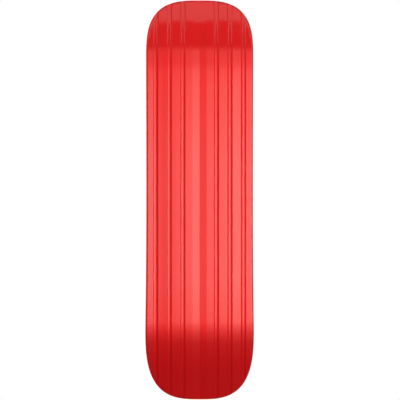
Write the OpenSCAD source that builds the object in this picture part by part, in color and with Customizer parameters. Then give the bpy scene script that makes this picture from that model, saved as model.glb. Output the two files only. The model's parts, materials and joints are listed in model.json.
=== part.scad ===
// Snowskate deck: a channelled plastic running base under seven pressed
// maple veneers, with a foam grip sheet on top. +X points to the nose, +Y to
// the rider's left, +Z up. The origin is under the middle of the deck, on the
// plane that the flat part of the base rests on.

/* [Outline] */
// Overall length from nose to tail, mm
length = 825; // [760:5:900]
// Width at the waist, half way along, mm
waist_w = 219; // [200:1:235]
// How much wider the sides would be at the nose tip than at the waist, mm
nose_flare = 3; // [0:1:12]
// How much wider the sides would be at the tail tip than at the waist, mm
tail_flare = 10; // [0:1:16]
// Length over which the nose rounds off, mm
nose_round = 119; // [90:1:160]
// Length over which the tail rounds off, mm
tail_round = 160; // [90:1:180]
// Exponent of the rounded ends: 2 is an ellipse, higher is squarer
end_power = 3; // [2:0.1:4]

/* [Bends] */
// Length of the nose that lies beyond the flat middle, mm
nose_kick = 150; // [110:1:190]
// Length of the tail that lies beyond the flat middle, mm
tail_kick = 162; // [110:1:190]
// How far a kick climbs for each millimetre along it: the sine of its angle
kick_climb = 0.352; // [0.2:0.002:0.4]
// Radius of the bend before each kick, at the base's running face, mm
bend_r = 175; // [120:5:260]
// Half width of the strip down the middle that isn't dished, mm
flat_half = 40; // [40:1:60]
// Radius of the dish on both sides of that strip, mm
concave_r = 450; // [350:10:900]

/* [Layers] */
// Thickness of the plastic base sheet, mm
base_t = 3; // [2.4:0.1:4]
// Thickness of one maple veneer, mm
veneer_t = 1.5; // [1.2:0.1:1.8]
// Thickness of the foam grip sheet, mm
grip_t = 3; // [2:0.5:5]
// Radius that rounds the lower edge of the stack, mm
lower_edge_r = 3.6; // [2:0.2:5]
// Radius that rounds the upper edge of the veneers, mm
upper_edge_r = 5; // [2:0.2:6]
// Strip of bare veneer left around the grip sheet, mm
grip_margin = 1.5; // [0.5:0.5:6]

/* [Channels] */
// Distance of the first channel from the middle, mm
channel_first = 34.5; // [30:0.1:34.5]
// Distance from one channel to the next, mm
channel_step = 27.8; // [24:0.1:30]
// Channels on each side of the middle
channel_count = 3; // [1:1:3]
// Width of a channel, mm
channel_w = 10.4; // [6:0.1:10.8]
// Depth of a channel, mm
channel_depth = 2; // [0.8:0.1:2.2]
// Width of the V-shaped groove down the middle, mm
groove_w = 29; // [16:1:34]
// Depth of the V-shaped groove, mm
groove_depth = 1.2; // [0.6:0.1:1.6]

/* [Hidden] */
$fn = 360;
VENEERS = 7;
END_POINTS = 24;      // points along a quarter of a rounded end
SIDE_POINTS = 16;     // points along a straight side
SECTOR_ANGLE = 15;    // the dished strips reach past the widest outline
OVER = 30;            // extra length of the kicks, cut off by the outline
BEND_LEAD = 2;        // extra angle of the bends, cut off where the middle ends

half_length = length / 2;
kick_angle = asin(kick_climb);
nose_start = half_length - nose_kick;
tail_start = half_length - tail_kick;
deck_t = base_t + VENEERS * veneer_t;
channel_r = (pow(channel_w / 2, 2) + pow(channel_depth, 2)) / (2 * channel_depth);

BASE_COLOR = [0.86, 0.12, 0.10];
FACE_COLOR = [0.87, 0.72, 0.52];
LONG_COLOR = [0.83, 0.66, 0.46];
CROSS_COLOR = [0.68, 0.49, 0.31];
GRIP_COLOR = [0.13, 0.13, 0.14];

// ---- Outline -------------------------------------------------------------

// Half width of the sides at x, before an end rounds them off
function side_half(x) =
    waist_w / 2 + (x > 0 ? nose_flare : tail_flare) / 2 * pow(x / half_length, 2);

// Points of one rounded end on the +Y side, from the tip to the straight side
function end_quarter(round_length, dir) = [
    for (i = [0 : END_POINTS])
        let (a = 90 * i / END_POINTS,
             x = dir * (half_length - round_length * (1 - pow(cos(a), 2 / end_power))))
        [x, side_half(x) * pow(sin(a), 2 / end_power)]
];

// Points of the straight side between the two rounded ends, ends left out
function side_points() = [
    for (i = [1 : SIDE_POINTS - 1])
        let (from = half_length - nose_round, to = tail_round - half_length,
             x = from + (to - from) * i / SIDE_POINTS)
        [x, side_half(x)]
];

function reversed(points) = [for (i = [len(points) - 1 : -1 : 0]) points[i]];

// The left half from nose tip to tail tip, then the right half back again
left_half = concat(end_quarter(nose_round, 1), side_points(),
                   reversed(end_quarter(tail_round, -1)));
outline = concat(left_half,
                 [for (i = [len(left_half) - 2 : -1 : 1]) [left_half[i].x, -left_half[i].y]]);

// The outline moved inwards by d, each point along its own normal
function inset(d) = [
    for (i = [0 : len(outline) - 1])
        let (n = len(outline),
             along = outline[(i + 1) % n] - outline[(i + n - 1) % n])
        outline[i] + d * [-along.y, along.x] / norm(along)
];

// How far the rounded edge of the stack has drawn in at height t
function edge_inset(t) =
    t < lower_edge_r ? lower_edge_r - sqrt(pow(lower_edge_r, 2) - pow(lower_edge_r - t, 2)) :
    t > deck_t - upper_edge_r ?
        upper_edge_r - sqrt(pow(upper_edge_r, 2) - pow(t - deck_t + upper_edge_r, 2)) : 0;

// ---- Cross-section ---------------------------------------------------------

// One layer across the deck, from height t0 to t1: flat middle, dished sides
module layer_section(t0, t1) {
    translate([-flat_half, t0]) square([2 * flat_half, t1 - t0]);
    for (side = [0, 1]) mirror([side, 0]) translate([flat_half, concave_r])
        intersection() {
            difference() {
                circle(r = concave_r - t0);
                circle(r = concave_r - t1);
            }
            polygon([[0, 0], [0, -2 * concave_r],
                     [2 * concave_r * tan(SECTOR_ANGLE), -2 * concave_r]]);
        }
}

// The round-bottomed channel that is centred at distance y from the middle,
// square to the base's face there
module channel_section(y) {
    tilt = y > flat_half ? asin((y - flat_half) / concave_r) : 0;
    pivot = min(y, flat_half);
    translate([pivot, concave_r]) rotate(tilt)
        translate([0, channel_depth - concave_r - channel_r]) circle(r = channel_r);
}

module groove_section() {
    polygon([[-groove_w / 2, -1], [-groove_w / 2, 0], [0, groove_depth],
             [groove_w / 2, 0], [groove_w / 2, -1]]);
}

module base_section() {
    difference() {
        layer_section(0, base_t);
        groove_section();
        for (side = [0, 1], i = [0 : channel_count - 1]) mirror([side, 0])
            channel_section(channel_first + i * channel_step);
    }
}

// ---- Sweep along the deck --------------------------------------------------

// Turns a section in x (across) and y (up) to stand across the deck, length along +X
module stand_across(extent) {
    rotate([90, 0, 90]) linear_extrude(extent) children();
}

// The bend of one end and the straight kick after it. Both are laid out from
// the plane where they meet, and the bend starts a little before the flat
// middle ends, so that beyond() can cut it square to the middle.
module bent_end(start) {
    translate([start, 0, bend_r]) rotate([0, -kick_angle, 0]) {
        mirror([1, 0, 0]) rotate([90, 90, 0])
            rotate_extrude(angle = kick_angle + BEND_LEAD)
                translate([bend_r, 0]) rotate(90) children();
        translate([0, 0, -bend_r])
            stand_across((half_length - start) / cos(kick_angle) + OVER) children();
    }
}

// Keeps what lies beyond x = start
module beyond(start) {
    intersection() {
        children();
        translate([start, -length / 2, -length / 2]) cube(length);
    }
}

// A section swept along the pressed shape and cut to the outline, d inside it
module pressed(d) {
    intersection() {
        union() {
            translate([-tail_start, 0, 0]) stand_across(nose_start + tail_start) children();
            beyond(nose_start) bent_end(nose_start) children();
            mirror([1, 0, 0]) beyond(tail_start) bent_end(tail_start) children();
        }
        translate([0, 0, -half_length]) linear_extrude(length) polygon(inset(d));
    }
}

// ---- Pieces ------------------------------------------------------------------

module base_sheet() {
    color(BASE_COLOR) pressed(edge_inset(base_t / 2)) base_section();
}

// Veneer number i, counted up from the base
module veneer(i, tint) {
    t0 = base_t + (i - 1) * veneer_t;
    color(tint) pressed(edge_inset(t0 + veneer_t / 2)) layer_section(t0, t0 + veneer_t);
}

module veneer_1_lower_face() { veneer(1, FACE_COLOR); }
module veneer_2_long() { veneer(2, LONG_COLOR); }
module veneer_3_cross() { veneer(3, CROSS_COLOR); }
module veneer_4_core() { veneer(4, LONG_COLOR); }
module veneer_5_cross() { veneer(5, CROSS_COLOR); }
module veneer_6_long() { veneer(6, LONG_COLOR); }
module veneer_7_upper_face() { veneer(7, FACE_COLOR); }

module grip_sheet() {
    color(GRIP_COLOR) pressed(upper_edge_r + grip_margin)
        layer_section(deck_t, deck_t + grip_t);
}

base_sheet();
veneer_1_lower_face();
veneer_2_long();
veneer_3_cross();
veneer_4_core();
veneer_5_cross();
veneer_6_long();
veneer_7_upper_face();
grip_sheet();
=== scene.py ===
"""Snowskate deck: the finished pieces, their materials and the studio.

Every piece is first built flat, in millimetres: x along the deck, y across it, and the
height t above the running face. It is cut to the deck's outline there, and only then
pressed into the deck's shape, with its dished sides, bends and kicks, and scaled to metres.
"""

import json
import math

import bmesh
import bpy
from mathutils import Matrix, Vector


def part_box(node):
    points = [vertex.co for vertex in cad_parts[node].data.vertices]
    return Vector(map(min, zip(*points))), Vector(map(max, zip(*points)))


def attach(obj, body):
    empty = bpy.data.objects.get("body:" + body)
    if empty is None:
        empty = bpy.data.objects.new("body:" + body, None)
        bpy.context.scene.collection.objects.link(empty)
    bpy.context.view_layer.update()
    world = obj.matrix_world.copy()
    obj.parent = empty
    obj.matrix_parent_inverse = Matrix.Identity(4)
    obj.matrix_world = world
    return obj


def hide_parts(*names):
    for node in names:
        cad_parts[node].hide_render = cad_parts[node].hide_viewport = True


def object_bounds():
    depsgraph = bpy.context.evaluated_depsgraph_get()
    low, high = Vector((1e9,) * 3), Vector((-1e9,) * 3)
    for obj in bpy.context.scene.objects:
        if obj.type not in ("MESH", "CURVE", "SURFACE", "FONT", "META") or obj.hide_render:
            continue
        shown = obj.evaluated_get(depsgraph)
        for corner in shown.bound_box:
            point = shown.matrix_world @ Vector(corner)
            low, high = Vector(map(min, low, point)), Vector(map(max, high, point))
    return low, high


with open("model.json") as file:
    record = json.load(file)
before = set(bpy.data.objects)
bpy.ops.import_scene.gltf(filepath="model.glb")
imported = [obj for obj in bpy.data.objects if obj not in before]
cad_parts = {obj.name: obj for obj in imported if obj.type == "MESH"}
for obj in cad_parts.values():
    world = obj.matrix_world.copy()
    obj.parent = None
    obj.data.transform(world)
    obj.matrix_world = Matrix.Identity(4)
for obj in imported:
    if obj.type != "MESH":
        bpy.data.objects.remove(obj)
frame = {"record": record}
cad_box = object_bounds()

MM = 0.001
BODY = "root"

# ---- Driving dimensions, mm ----------------------------------------------------

# Layers and length, from the frame
HALF_LENGTH = cad_box[1].x / MM
BASE_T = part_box("veneer_1_lower_face")[0].z / MM
VENEER_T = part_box("veneer_2_long")[0].z / MM - BASE_T
DECK_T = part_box("grip_sheet")[0].z / MM
MOUNTS = {mount["name"]: mount for mount in frame["record"]["mounts"]}
GRIP_T = MOUNTS["standing_face"]["pos_m"][2] / MM - DECK_T

# Outline
WAIST_HALF = 109.5
NOSE_FLARE = 1.5
TAIL_FLARE = 5.0
NOSE_ROUND = 119.0
TAIL_ROUND = 160.0
END_POWER = 3.0

# Pressed shape
NOSE_START = HALF_LENGTH - 172.5
TAIL_START = HALF_LENGTH - 162.0
FLAT_HALF = 40.0
CONCAVE_R = 450.0
# Each end's bend as arcs, by radius and the sine of the slope where it ends
NOSE_ARCS = ((388.0, 0.17), (70.0, 0.352))
TAIL_ARCS = ((175.0, 0.26), (534.0, 0.378))

# Rounded edges
LOWER_EDGE_R = 3.6
UPPER_EDGE_R = 5.0
GLUE_LINE = 0.12

# Channels and groove of the base
CHANNELS = (34.5, 62.3, 90.1)
CHANNEL_HALF = 5.2
CHANNEL_DEPTH = 2.0
CHANNEL_R = (CHANNEL_HALF ** 2 + CHANNEL_DEPTH ** 2) / (2 * CHANNEL_DEPTH)
CHANNEL_LIP = 0.2
GROOVE_HALF = 14.5
GROOVE_DEPTH = 1.2
GROOVE_LIP = 0.05
# The crease's flat and its rounding, as shares of the groove's half width
CREASE_FLAT = 0.03
CREASE_BLEND = 0.06

# Grip sheet
GRIP_INSET = UPPER_EDGE_R + 1.5
GRIP_BEVEL = 1.2
DIAMOND_LENGTH = 20.0
DIAMOND_WIDTH = 12.0
CUT_DEPTH = 1.6
# Its upper face across one diamond: places as shares of the width, and the heights there
# as shares of the cuts' depth. Then the places of the lower face
CUT_LINES = (0, 0.03, 0.085, 0.15, 0.85, 0.915, 0.97, 1)
CUT_HEIGHTS = (0, 0, 0.86, 1, 1, 0.86, 0, 0)
UNDER_LINES = (0, 0.5, 1)

# Mesh steps, and angles in degrees
END_POINTS = 72
SIDE_POINTS = 44
FLAT_STEP = 13.0
BEND_STEP = 2.4
KICK_STEP = 10.0
ACROSS_STEP = 6.0
EDGE_TURN = 6
SHARP_ANGLE = 32
MERGE = 0.01
# Columns of the running face: at its edges, in a channel, and beside the crease
EDGE_REACH = 0.5
EDGE_COLUMNS = 5
CHANNEL_COLUMNS = 11
CREASE_COLUMN = 1.2
# How far the uncut stock and its cutter reach past a layer
STOCK_OVER = 12.0
CUTTER_OVER = 1.0


# ---- Outline and pressed shape --------------------------------------------------

def side_half(x):
    """Half width of the sides at x, before an end rounds them off."""
    flare = NOSE_FLARE if x > 0 else TAIL_FLARE
    return WAIST_HALF + flare * (x / HALF_LENGTH) ** 2


def end_quarter(round_length, direction):
    """Points of a rounded end on the +Y side, from the tip to the straight side."""
    points = []
    for i in range(END_POINTS + 1):
        angle = math.pi / 2 * i / END_POINTS
        along = max(math.cos(angle), 0.0) ** (2 / END_POWER)
        x = direction * (HALF_LENGTH - round_length * (1 - along))
        points.append(Vector((x, side_half(x) * math.sin(angle) ** (2 / END_POWER))))
    return points


def side_points():
    """Points of the straight side between the two rounded ends, ends left out."""
    first = HALF_LENGTH - NOSE_ROUND
    last = TAIL_ROUND - HALF_LENGTH
    stations = spread(first, last, SIDE_POINTS)[1:-1]
    return [Vector((x, side_half(x))) for x in stations]


def make_outline():
    """The deck's outline as a closed loop, anticlockwise from above."""
    tail = end_quarter(TAIL_ROUND, -1)[::-1]
    left = end_quarter(NOSE_ROUND, 1) + side_points() + tail
    right = [Vector((point.x, -point.y)) for point in left[-2:0:-1]]
    return left + right


def inset(loop, distance):
    """The loop moved inwards, each point along its own normal."""
    moved = []
    for i, point in enumerate(loop):
        along = (loop[(i + 1) % len(loop)] - loop[i - 1]).normalized()
        moved.append(point + distance * Vector((-along.y, along.x)))
    return moved


def spread(first, last, count):
    """Evenly spaced values from first to last, both included."""
    return [first + (last - first) * i / (count - 1) for i in range(count)]


def steps(first, last, longest):
    """Evenly spaced values from first to last, no further apart than longest."""
    return spread(first, last, math.ceil(abs(last - first) / longest) + 1)


def bend_length(arcs):
    """How far an end's bend reaches along the deck."""
    length = 0.0
    sine = 0.0
    for radius, next_sine in arcs:
        length += radius * (next_sine - sine)
        sine = next_sine
    return length


def bent_height(beyond, rise, arcs):
    """Height at a distance beyond the start of a bend, for a layer raised by rise."""
    x, z, sine, cosine = 0.0, 0.0, 0.0, 1.0
    for radius, next_sine in arcs:
        middle_x = x - radius * sine
        middle_z = z + radius * cosine
        reach = radius - rise
        if beyond < middle_x + reach * next_sine:
            return middle_z - math.sqrt(reach ** 2 - (beyond - middle_x) ** 2)
        sine = next_sine
        cosine = math.sqrt(1 - sine ** 2)
        x = middle_x + radius * sine
        z = middle_z - radius * cosine
    return z + rise * cosine + (beyond - x + rise * sine) * sine / cosine


def pressed(x, y, t):
    """Where a point of the flat build ends up in the pressed deck, in metres."""
    out = max(abs(y) - FLAT_HALF, 0.0)
    rise = CONCAVE_R - math.sqrt((CONCAVE_R - t) ** 2 - out ** 2)
    start, arcs = (NOSE_START, NOSE_ARCS) if x > 0 else (TAIL_START, TAIL_ARCS)
    beyond = abs(x) - start
    z = rise if beyond <= 0 else bent_height(beyond, rise, arcs)
    return Vector((x, y, z)) * MM


# ---- Flat building blocks --------------------------------------------------------

def rows():
    """Stations along the deck, close together in the bends."""
    end = HALF_LENGTH + STOCK_OVER
    tail_end = TAIL_START + bend_length(TAIL_ARCS)
    nose_end = NOSE_START + bend_length(NOSE_ARCS)
    stations = steps(-end, -tail_end, KICK_STEP)
    stations += steps(-tail_end, -TAIL_START, BEND_STEP)[1:]
    stations += steps(-TAIL_START, NOSE_START, FLAT_STEP)[1:]
    stations += steps(NOSE_START, nose_end, BEND_STEP)[1:]
    stations += steps(nose_end, end, KICK_STEP)[1:]
    return stations


def plain_columns():
    """Stations across the deck for a smooth face."""
    edge = WAIST_HALF + TAIL_FLARE + STOCK_OVER
    return steps(-edge, edge, ACROSS_STEP)


def running_columns():
    """Stations across the deck that hold the shape of the running face."""
    half = spread(0, EDGE_REACH, 3) + [CREASE_COLUMN]
    half += spread(GROOVE_HALF - 2 * EDGE_REACH, GROOVE_HALF + 2 * EDGE_REACH, EDGE_COLUMNS)
    for centre in CHANNELS:
        near, far = centre - CHANNEL_HALF, centre + CHANNEL_HALF
        half += steps(half[-1], near - EDGE_REACH, ACROSS_STEP)[1:]
        for edge in (near, far):
            half += spread(edge - EDGE_REACH, edge + EDGE_REACH, EDGE_COLUMNS)
        half += spread(near + EDGE_REACH, far - EDGE_REACH, CHANNEL_COLUMNS)[1:-1]
        half.sort()
    half += steps(half[-1], WAIST_HALF + TAIL_FLARE + STOCK_OVER, ACROSS_STEP)[1:]
    return sorted({round(side * y, 4) for y in half for side in (-1, 1)})


def soft_max(a, b, width):
    """The larger of two heights, rounded over where they differ by less than width."""
    overlap = max(width - abs(a - b), 0.0)
    return max(a, b) + overlap ** 2 / (4 * width)


def channel_height(offset):
    """Height of a channel's round bottom at an offset from its middle."""
    reach = min(abs(offset), CHANNEL_R)
    return CHANNEL_DEPTH - CHANNEL_R + math.sqrt(CHANNEL_R ** 2 - reach ** 2)


def running_height(y):
    """Height of the running face above its lands, at y."""
    distance = abs(y)
    root = soft_max(distance / GROOVE_HALF, CREASE_FLAT, CREASE_BLEND)
    height = soft_max(GROOVE_DEPTH * (1 - root), 0.0, GROOVE_LIP)
    for centre in CHANNELS:
        height = soft_max(height, channel_height(distance - centre), CHANNEL_LIP)
    return height


def add_grid(bm, xs, ys, height):
    """A grid of faces that look up, as rows of vertices."""
    grid = [[bm.verts.new((x, y, height(y))) for y in ys] for x in xs]
    for near, far in zip(grid, grid[1:]):
        for j in range(len(ys) - 1):
            bm.faces.new((near[j], far[j], far[j + 1], near[j + 1]))
    return grid


def slab(lower_ys, lower_height, upper_ys, upper_height):
    """A closed flat slab that is wider and longer than the deck."""
    bm = bmesh.new()
    xs = rows()
    lower = add_grid(bm, xs, lower_ys, lower_height)
    bmesh.ops.reverse_faces(bm, faces=bm.faces[:])
    upper = add_grid(bm, xs, upper_ys, upper_height)
    bm.faces.new(lower[0][::-1] + upper[0])
    bm.faces.new(lower[-1] + upper[-1][::-1])
    bm.faces.new([row[0] for row in lower] + [row[0] for row in upper[::-1]])
    bm.faces.new([row[-1] for row in lower[::-1]] + [row[-1] for row in upper])
    return bm


def ring_solid(rings):
    """A closed solid through outline rings, each an (inset, height), from below upwards."""
    bm = bmesh.new()
    loops = []
    for distance, t in rings:
        loops.append([bm.verts.new((p.x, p.y, t)) for p in inset(OUTLINE, distance)])
    for lower, upper in zip(loops, loops[1:]):
        for i in range(len(lower)):
            j = (i + 1) % len(lower)
            bm.faces.new((lower[i], lower[j], upper[j], upper[i]))
    bm.faces.new(loops[0][::-1])
    bm.faces.new(loops[-1])
    return bm


def to_object(name, bm):
    """Turns a bmesh into an object of the scene."""
    bmesh.ops.recalc_face_normals(bm, faces=bm.faces[:])
    mesh = bpy.data.meshes.new(name)
    bm.to_mesh(mesh)
    bm.free()
    made = bpy.data.objects.new(name, mesh)
    bpy.context.scene.collection.objects.link(made)
    return made


def evaluated_mesh(source):
    """The object's mesh with its modifiers applied."""
    graph = bpy.context.evaluated_depsgraph_get()
    return bpy.data.meshes.new_from_object(source.evaluated_get(graph))


def cut_out(name, stock, cutter):
    """The part of the stock that lies inside the cutter, pressed into the deck's shape."""
    made = to_object(name, stock)
    knife = to_object(name + "_cutter", cutter)
    boolean = made.modifiers.new("cut", "BOOLEAN")
    boolean.operation = "INTERSECT"
    boolean.solver = "MANIFOLD"
    boolean.object = knife
    mesh = evaluated_mesh(made)
    made.modifiers.clear()
    bpy.data.objects.remove(knife)
    made.data = press_mesh(mesh)
    return made


def press_mesh(mesh):
    """Splits the large faces of a flat mesh and moves its points to the pressed shape."""
    bm = bmesh.new()
    bm.from_mesh(mesh)
    bmesh.ops.remove_doubles(bm, verts=bm.verts[:], dist=MERGE)
    large = [face for face in bm.faces if len(face.verts) > 4]
    bmesh.ops.triangulate(bm, faces=large)
    for vertex in bm.verts:
        vertex.co = pressed(*vertex.co)
    bm.to_mesh(mesh)
    bm.free()
    return mesh


def shade(piece):
    """Smooth shading that keeps the wide faces true and the sharp edges sharp."""
    mesh = piece.data
    mesh.shade_smooth()
    mesh.set_sharp_from_angle(angle=math.radians(SHARP_ANGLE))
    weighted = piece.modifiers.new("weighted", "WEIGHTED_NORMAL")
    weighted.keep_sharp = True
    piece.data = evaluated_mesh(piece)
    piece.modifiers.clear()


def finish_piece(piece, material, node):
    """Shades a piece, dresses it and lets it stand for its CAD node."""
    shade(piece)
    piece.data.materials.clear()
    piece.data.materials.append(material)
    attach(piece, BODY)
    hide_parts(node)


# ---- Pieces -----------------------------------------------------------------------

def edge_inset(t):
    """How far the rounded edge of the stack has drawn in at height t."""
    if t < LOWER_EDGE_R:
        return LOWER_EDGE_R - math.sqrt(LOWER_EDGE_R ** 2 - (LOWER_EDGE_R - t) ** 2)
    above = max(t - DECK_T + UPPER_EDGE_R, 0.0)
    return UPPER_EDGE_R - math.sqrt(max(UPPER_EDGE_R ** 2 - above ** 2, 0.0))


def edge_heights(t0, t1):
    """Heights between t0 and t1 where the rounded edge has a ring of points."""
    turns = [1 - math.cos(math.radians(angle)) for angle in range(0, 90, EDGE_TURN)]
    heights = [LOWER_EDGE_R * turn for turn in turns]
    heights += [DECK_T - UPPER_EDGE_R * turn for turn in turns]
    return sorted(t for t in heights if t0 + GLUE_LINE < t < t1 - GLUE_LINE)


def layer_rings(t0, t1):
    """Rings of one layer's edge, with a fine bevel where it meets another layer."""
    low = 0.0 if t0 == 0 else GLUE_LINE
    high = 0.0 if t1 == DECK_T else GLUE_LINE
    first = edge_inset(t0) + low
    last = edge_inset(t1) + high
    rings = [(first, t0 - CUTTER_OVER), (first, t0)]
    for t in [t0 + GLUE_LINE] + edge_heights(t0, t1) + [t1 - GLUE_LINE]:
        rings.append((edge_inset(t), t))
    return rings + [(last, t1), (last, t1 + CUTTER_OVER)]


def make_base(material):
    """The plastic running base, with its channels and its groove."""
    stock = slab(running_columns(), running_height, plain_columns(), lambda y: BASE_T)
    piece = cut_out("base", stock, ring_solid(layer_rings(0, BASE_T)))
    finish_piece(piece, material, "base_sheet")


def make_veneer(number, node, material):
    """One maple veneer, counted from the base upwards."""
    t0 = BASE_T + (number - 1) * VENEER_T
    t1 = t0 + VENEER_T
    columns = plain_columns()
    stock = slab(columns, lambda y: t0, columns, lambda y: t1)
    piece = cut_out("ply_" + node, stock, ring_solid(layer_rings(t0, t1)))
    finish_piece(piece, material, node)


def lattice_point(p, q, t):
    """A point of the diamond lattice, whose cuts run along whole values of p and q."""
    x = (p + q) * DIAMOND_LENGTH / 2
    y = (p - q) * DIAMOND_WIDTH / 2
    return (x, y, t)


def lattice_cells():
    """The lattice cells that cover the deck, by the p and q of their lowest corner."""
    reach = math.ceil(HALF_LENGTH / DIAMOND_LENGTH + WAIST_HALF / DIAMOND_WIDTH) + 2
    cells = set()
    for p in range(-reach, reach):
        for q in range(-reach, reach):
            x, y, _ = lattice_point(p + 0.5, q + 0.5, 0)
            if abs(x) < HALF_LENGTH + DIAMOND_LENGTH and abs(y) < WAIST_HALF + DIAMOND_LENGTH:
                cells.add((p, q))
    return cells


def add_patch(bm, vertex, p, q, stops, height):
    """The faces of one lattice cell, as rows of vertices."""
    patch = [[vertex(p + a, q + b, height(a, b)) for b in stops] for a in stops]
    for near, far in zip(patch, patch[1:]):
        for j in range(len(stops) - 1):
            bm.faces.new((near[j], far[j], far[j + 1], near[j + 1]))
    return patch


def patch_sides(patch):
    """The four border rows of a patch, by the step to the cell beyond each."""
    return {(-1, 0): patch[0], (1, 0): patch[-1],
            (0, -1): [row[0] for row in patch], (0, 1): [row[-1] for row in patch]}


def diamond_sheet():
    """A closed foam sheet whose upper face is cut into diamonds."""
    bm = bmesh.new()
    seen = {}
    share = dict(zip(CUT_LINES, CUT_HEIGHTS))

    def vertex(p, q, t):
        key = (round(p, 4), round(q, 4), round(t, 4))
        if key not in seen:
            seen[key] = bm.verts.new(lattice_point(p, q, t))
        return seen[key]

    def upper(a, b):
        return DECK_T + GRIP_T - CUT_DEPTH * (1 - min(share[a], share[b]))

    cells = lattice_cells()
    for p, q in cells:
        top = patch_sides(add_patch(bm, vertex, p, q, CUT_LINES, upper))
        bottom = patch_sides(add_patch(bm, vertex, p, q, UNDER_LINES, lambda a, b: DECK_T))
        for step in top:
            if (p + step[0], q + step[1]) not in cells:
                bm.faces.new(bottom[step] + top[step][::-1])
    return bm


def make_grip(material):
    """The foam grip sheet, cut to a bevelled edge a little inside the deck's."""
    top = DECK_T + GRIP_T
    upper = GRIP_INSET + GRIP_BEVEL
    rings = [(GRIP_INSET, DECK_T - CUTTER_OVER), (GRIP_INSET, top - GRIP_BEVEL),
             (upper, top), (upper, top + CUTTER_OVER)]
    piece = cut_out("grip_pad", diamond_sheet(), ring_solid(rings))
    finish_piece(piece, material, "grip_sheet")


# ---- Materials ------------------------------------------------------------------------

# Linear colours, in pairs that a material varies between
RED = ((0.705, 0.003, 0.006), (0.765, 0.005, 0.008))
RED_SHEEN = (1, 0.02, 0.02, 1)
# Painted shade for bounced light only: the base's colour as diffuse rays see it, nearly black,
# as if the floor shaded its underside, so that it throws no red glow on the floor
BOUNCE_PAINTED_SHADE = (0.02, 0.001, 0.001)
MAPLE = {"face": ((0.66, 0.47, 0.29), (0.50, 0.32, 0.17)),
         "long": ((0.60, 0.41, 0.24), (0.44, 0.27, 0.14)),
         "cross": ((0.42, 0.25, 0.13), (0.28, 0.15, 0.07))}
PORE_SHADE = 0.35
FOAM = ((0.022, 0.022, 0.024), (0.038, 0.038, 0.042))
FOAM_DUST = (0.06, 0.06, 0.065)
PALE = ((0.80, 0.80, 0.80), (0.84, 0.84, 0.835))
# The range that most of a noise's values fall in
NOISE_RANGE = (0.3, 0.7)
# The colour sockets of a Mix node: two inputs and the output
MIX_A, MIX_B, MIX_OUT = 6, 7, 2


def add(tree, kind, inputs=None, **settings):
    """Adds a shader node, sets it up and links or fills its inputs."""
    node = tree.nodes.new("ShaderNode" + kind)
    for name, value in settings.items():
        setattr(node, name, value)
    for name, value in (inputs or {}).items():
        if isinstance(value, bpy.types.NodeSocket):
            tree.links.new(value, node.inputs[name])
        else:
            node.inputs[name].default_value = value
    return node


def calc(tree, operation, a, b=0.0, c=0.0):
    """The result of a Math node."""
    return add(tree, "Math", {0: a, 1: b, 2: c}, operation=operation).outputs[0]


def remap(tree, value, low, high, to_low, to_high):
    """The value mapped from one range to another, held at the ends."""
    ranges = {"Value": value, "From Min": low, "From Max": high,
              "To Min": to_low, "To Max": to_high}
    return add(tree, "MapRange", ranges).outputs["Result"]


def blend(tree, factor, a, b):
    """A colour between a and b."""
    mix = add(tree, "Mix", {"Factor": factor}, data_type="RGBA")
    for socket, value in ((mix.inputs[MIX_A], a), (mix.inputs[MIX_B], b)):
        if isinstance(value, bpy.types.NodeSocket):
            tree.links.new(value, socket)
        else:
            socket.default_value = (*value, 1)
    return mix.outputs[MIX_OUT]


def new_material(name):
    """An empty material, its node tree and the position in the frame, in metres."""
    material = bpy.data.materials.new(name)
    material.use_nodes = True
    tree = material.node_tree
    tree.nodes.clear()
    return material, tree, add(tree, "TexCoord").outputs["Object"]


def stretched_noise(tree, place, per_metre, detail):
    """Noise with its own number of waves to the metre along x, y and z."""
    scaled = add(tree, "Mapping", {"Vector": place, "Scale": per_metre}).outputs[0]
    return add(tree, "TexNoise", {"Vector": scaled, "Scale": 1.0, "Detail": detail}).outputs[0]


def bump(tree, height, depth_mm, normal=None):
    """A normal that shows the height, whose full range is depth_mm deep."""
    inputs = {"Height": height, "Strength": 1.0, "Distance": depth_mm * MM}
    if normal is not None:
        inputs["Normal"] = normal
    return add(tree, "Bump", inputs).outputs[0]


def close_material(tree, inputs):
    """Ends a material with one shader that has these inputs."""
    shader = add(tree, "BsdfPrincipled", inputs)
    add(tree, "OutputMaterial", {"Surface": shader.outputs[0]})


def red_plastic():
    """Glossy dyed polyethylene, with the fine lengthwise lines of a ground base."""
    material, tree, place = new_material("red_base_plastic")
    lines = stretched_noise(tree, place, (5, 420, 60), 3)
    waves = stretched_noise(tree, place, (7, 45, 20), 1)
    cloud = stretched_noise(tree, place, (9, 30, 9), 3)
    colour = blend(tree, cloud, *RED)
    # Painted shade: diffuse rays see the base nearly black, as if its underside lay in the
    # floor's shade, so that no red glow bounces onto the floor
    painted_shade_rays = add(tree, "LightPath").outputs["Is Diffuse Ray"]
    colour = blend(tree, painted_shade_rays, colour, BOUNCE_PAINTED_SHADE)
    gloss = remap(tree, lines, *NOISE_RANGE, 0.01, 0.025)
    normal = bump(tree, lines, 0.004, bump(tree, waves, 0.006))
    crosswise = add(tree, "CombineXYZ", {"Y": 1.0}).outputs[0]
    close_material(tree, {
        "Base Color": colour, "Metallic": 0.42, "Roughness": 0.55,
        "Anisotropic": 0.8, "Tangent": crosswise,
        "Specular Tint": RED_SHEEN, "Coat Weight": 0.575, "Coat Roughness": gloss,
        "Normal": normal, "Coat Normal": normal})
    return material


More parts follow.
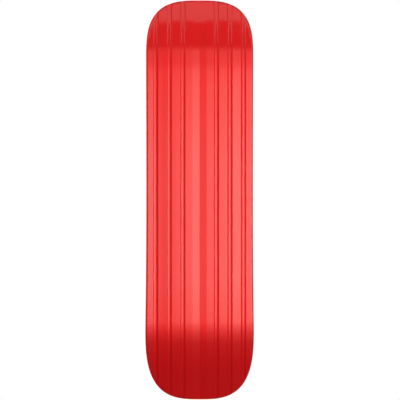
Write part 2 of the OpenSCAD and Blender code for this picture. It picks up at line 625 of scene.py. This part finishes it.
def maple(kind):
    """Sealed maple, whose grain runs across the deck in a "cross" veneer."""
    material, tree, place = new_material("maple_" + kind)
    light, dark = MAPLE[kind]
    along = "y" if kind == "cross" else "x"

    def grain(lengthwise, crosswise, detail):
        scale = [lengthwise if axis == along else crosswise for axis in "xyz"]
        return stretched_noise(tree, place, scale, detail)

    figure = grain(4, 60, 3)
    fibre = grain(25, 1400, 3)
    pores = remap(tree, grain(60, 2600, 1), 0.62, 0.72, 0, 1)
    tone = calc(tree, "MULTIPLY_ADD", fibre, 0.5, calc(tree, "MULTIPLY", figure, 0.6))
    colour = blend(tree, remap(tree, tone, 0.35, 0.75, 0, 1), light, dark)
    pore_colour = [channel * PORE_SHADE for channel in dark]
    pored = blend(tree, calc(tree, "MULTIPLY", pores, 0.45), colour, pore_colour)
    normal = bump(tree, fibre, 0.02)
    close_material(tree, {
        "Base Color": pored, "Roughness": remap(tree, fibre, *NOISE_RANGE, 0.4, 0.55),
        "Coat Weight": 0.25, "Coat Roughness": 0.25, "Normal": normal})
    return material


def grip_foam():
    """Closed-cell foam: fine pores, a soft matte face and a little rubbed dust."""
    material, tree, place = new_material("grip_foam")
    cells = add(tree, "TexVoronoi", {"Vector": place, "Scale": 1500.0}).outputs["Distance"]
    cloud = stretched_noise(tree, place, (25, 25, 25), 4)
    fine = stretched_noise(tree, place, (900, 900, 900), 2)
    colour = blend(tree, remap(tree, cloud, *NOISE_RANGE, 0, 1), *FOAM)
    pitted = blend(tree, remap(tree, cells, 0.1, 0.5, 1, 0), colour, FOAM_DUST)
    normal = bump(tree, cells, 0.08, bump(tree, fine, 0.05))
    close_material(tree, {
        "Base Color": pitted, "Roughness": remap(tree, fine, *NOISE_RANGE, 0.78, 0.95),
        "Specular IOR Level": 0.35, "Sheen Weight": 0.12, "Normal": normal})
    return material


def floor_material():
    """Pale and matte from above, and fading into the backdrop further out.

    From below it isn't there, so the base stays in view.
    """
    material, tree, place = new_material("pale_floor")
    tone = stretched_noise(tree, place, (1.5, 1.5, 1.5), 2)
    colour = blend(tree, tone, *PALE)
    shader = add(tree, "BsdfDiffuse", {"Color": colour})
    distance = add(tree, "VectorMath", {0: place}, operation="LENGTH").outputs["Value"]
    far = remap(tree, distance, *FLOOR_FADE, 0, 1)
    below = add(tree, "NewGeometry").outputs["Backfacing"]
    hidden = calc(tree, "MAXIMUM", far, below)
    clear = add(tree, "BsdfTransparent")
    mixed = add(tree, "MixShader", {0: hidden, 1: shader.outputs[0], 2: clear.outputs[0]})
    add(tree, "OutputMaterial", {"Surface": mixed.outputs[0]})
    return material


# ---- Studio -------------------------------------------------------------------------------

# Brightness of the strips below the deck by their angle to the right of straight down,
# as seen from the lens: a narrow one to the left, and a wide one to the right
STRIP_PEAK = 6.8
LIGHT_ACROSS = ((-90, 0.32), (-23, 0.32), (-21, 5.3), (-16, 5.3), (-9, 2.05), (-3, 3.5),
                (1, 4.9), (4, 5.3), (10, 6.8), (16, 5.4), (21, 6.8), (41, 6.8), (45, 0.5),
                (90, 0.5))
# Share of that brightness by the angle from straight down towards the nose
LIGHT_ALONG = ((-90, 0.01), (-41, 0.02), (-29, 0.08), (-17, 0.21), (-6, 0.5), (-2, 0.75),
               (-1.4, 1.0), (0.6, 1.0), (2, 0.66), (9, 0.55), (12, 0.42), (15, 0.3), (22, 0.23),
               (32, 0.05), (43, 0.0), (90, 0.0))
# Brightness of the dim wall ahead of the nose, by the same angle
WALL_PEAK = 0.75
LIGHT_AHEAD = ((-90, 0.1), (4, 0.1), (9, 0.2), (15, 0.35), (22, 0.5), (32, 0.75),
               (43, 0.42), (56, 0.25), (90, 0.25))
# A panel on that wall: its angles ahead, its angles to the right, and its brightness
NOSE_PANEL_ALONG = (44.3, 51.5)
NOSE_PANEL_ACROSS = (-62, 62)
NOSE_PANEL = 1.8
# Brightness above the deck at the horizon and straight up
LIGHT_ABOVE = (0.1, 1.0)
# The depth below the horizon, as a sine, where the light below the deck takes over,
# and that light's colour
HORIZON = 0.03
WARM = (1, 0.99, 0.88)
# Lamps above the deck: name, place and size in metres, and power in watts
LAMPS = (("key", (0.7, -1.0, 1.7), 1.2, 18), ("fill", (-1.1, 0.9, 1.1), 1.5, 6))

# The floor's half size, its gap below the deck, and where it starts and ends its fade
# into the backdrop, in metres from the middle
FLOOR_HALF = 8.0
FLOOR_GAP = 0.0002
FLOOR_FADE = (0.6, 2.2)

# The camera's lens and sensor in mm, and in metres the width that fills the picture, the
# height at which it does, and the shift to the side
CAMERA_LENS = 300.0
CAMERA_SENSOR = 36.0
VIEW_WIDTH = 0.827
VIEW_HEIGHT = 0.05
VIEW_SHIFT = 0.0008


def angle_ramp(tree, angle, stops, peak):
    """A brightness that follows stops of (degrees, brightness) over an angle in radians."""
    place = calc(tree, "MULTIPLY_ADD", angle, 1 / math.pi, 0.5)
    node = add(tree, "ValToRGB", {0: place})
    elements = node.color_ramp.elements
    while len(elements) < len(stops):
        elements.new(0.5)
    for element, (degrees, _) in zip(elements, stops):
        element.position = degrees / 180 + 0.5
    for element, (_, level) in zip(elements, stops):
        element.color = (level / peak, level / peak, level / peak, 1)
    return calc(tree, "MULTIPLY", node.outputs[0], peak)


def between(tree, angle, first, last):
    """1 where an angle in radians lies between two angles in degrees, and 0 elsewhere."""
    middle = math.radians(first + last) / 2
    return calc(tree, "COMPARE", angle, middle, math.radians(last - first) / 2)


def light_below(tree, x, y, z):
    """Brightness of the strips, the wall and its panel, by direction."""
    reach = calc(tree, "SUBTRACT", 1.0, z)
    across = calc(tree, "MULTIPLY", calc(tree, "ARCTAN2", y, reach), 2.0)
    along = calc(tree, "MULTIPLY", calc(tree, "ARCTAN2", x, reach), 2.0)
    strips = angle_ramp(tree, across, LIGHT_ACROSS, STRIP_PEAK)
    share = angle_ramp(tree, along, LIGHT_ALONG, 1.0)
    ahead = angle_ramp(tree, along, LIGHT_AHEAD, WALL_PEAK)
    panel = calc(tree, "MULTIPLY", between(tree, along, *NOSE_PANEL_ALONG),
                 between(tree, across, *NOSE_PANEL_ACROSS))
    wall = calc(tree, "MULTIPLY_ADD", panel, NOSE_PANEL, ahead)
    return calc(tree, "MULTIPLY_ADD", strips, share, wall)


def studio_light():
    """Soft light from above, the gloss's light from below, and a white backdrop."""
    world = bpy.data.worlds.new("studio")
    bpy.context.scene.world = world
    world.use_nodes = True
    tree = world.node_tree
    tree.nodes.clear()
    direction = add(tree, "TexCoord").outputs["Generated"]
    x, y, z = add(tree, "SeparateXYZ", {0: direction}).outputs[:3]
    below = light_below(tree, x, y, z)
    above = remap(tree, z, 0, 1, *LIGHT_ABOVE)
    lower = remap(tree, z, -HORIZON, 0.0, 1, 0)
    level = add(tree, "Mix", {"Factor": lower, "A": above, "B": below}).outputs[0]
    seen = add(tree, "LightPath").outputs["Is Camera Ray"]
    strength = add(tree, "Mix", {"Factor": seen, "A": level, "B": 1.0}).outputs[0]
    warmth = calc(tree, "MULTIPLY", lower, calc(tree, "SUBTRACT", 1.0, seen))
    colour = blend(tree, warmth, (1, 1, 1), WARM)
    background = add(tree, "Background", {"Color": colour, "Strength": strength})
    add(tree, "OutputWorld", {"Surface": background.outputs[0]})


def soft_lamp(name, place, size, energy):
    """A large soft lamp above the deck, turned towards it."""
    data = bpy.data.lights.new(name, "AREA")
    data.shape = "SQUARE"
    data.size = size
    data.energy = energy
    lamp = bpy.data.objects.new(name, data)
    lamp.location = place
    lamp.rotation_euler = (-lamp.location).to_track_quat("-Z", "Y").to_euler()
    bpy.context.scene.collection.objects.link(lamp)


def make_floor():
    """The pale floor, which blocks no light and shows in no gloss."""
    bm = bmesh.new()
    bmesh.ops.create_grid(bm, x_segments=4, y_segments=4, size=FLOOR_HALF)
    floor = to_object("floor", bm)
    floor.location.z = -FLOOR_GAP
    floor.data.materials.append(floor_material())
    floor.visible_shadow = False
    floor.visible_diffuse = False
    floor.visible_glossy = False


def make_camera():
    """Looks straight up at the base, with the nose at the top of the picture."""
    data = bpy.data.cameras.new("camera")
    data.lens = CAMERA_LENS
    data.sensor_width = CAMERA_SENSOR
    camera = bpy.data.objects.new("camera", data)
    distance = VIEW_WIDTH * CAMERA_LENS / CAMERA_SENSOR
    camera.location = (0, VIEW_SHIFT, VIEW_HEIGHT - distance)
    right, up, back = (0, 1, 0), (1, 0, 0), (0, 0, -1)
    camera.rotation_euler = Matrix((right, up, back)).transposed().to_euler()
    bpy.context.scene.collection.objects.link(camera)
    bpy.context.scene.camera = camera


# ---- The deck --------------------------------------------------------------------------------

OUTLINE = make_outline()
VENEERS = (("veneer_1_lower_face", "face"), ("veneer_2_long", "long"),
           ("veneer_3_cross", "cross"), ("veneer_4_core", "long"),
           ("veneer_5_cross", "cross"), ("veneer_6_long", "long"),
           ("veneer_7_upper_face", "face"))

woods = {kind: maple(kind) for kind in MAPLE}
make_base(red_plastic())
for number, (node, wood) in enumerate(VENEERS, 1):
    make_veneer(number, node, woods[wood])
make_grip(grip_foam())

studio_light()
for lamp in LAMPS:
    soft_lamp(*lamp)
make_floor()
make_camera()
bpy.context.scene.view_settings.view_transform = "Standard"

bpy.context.view_layer.update()
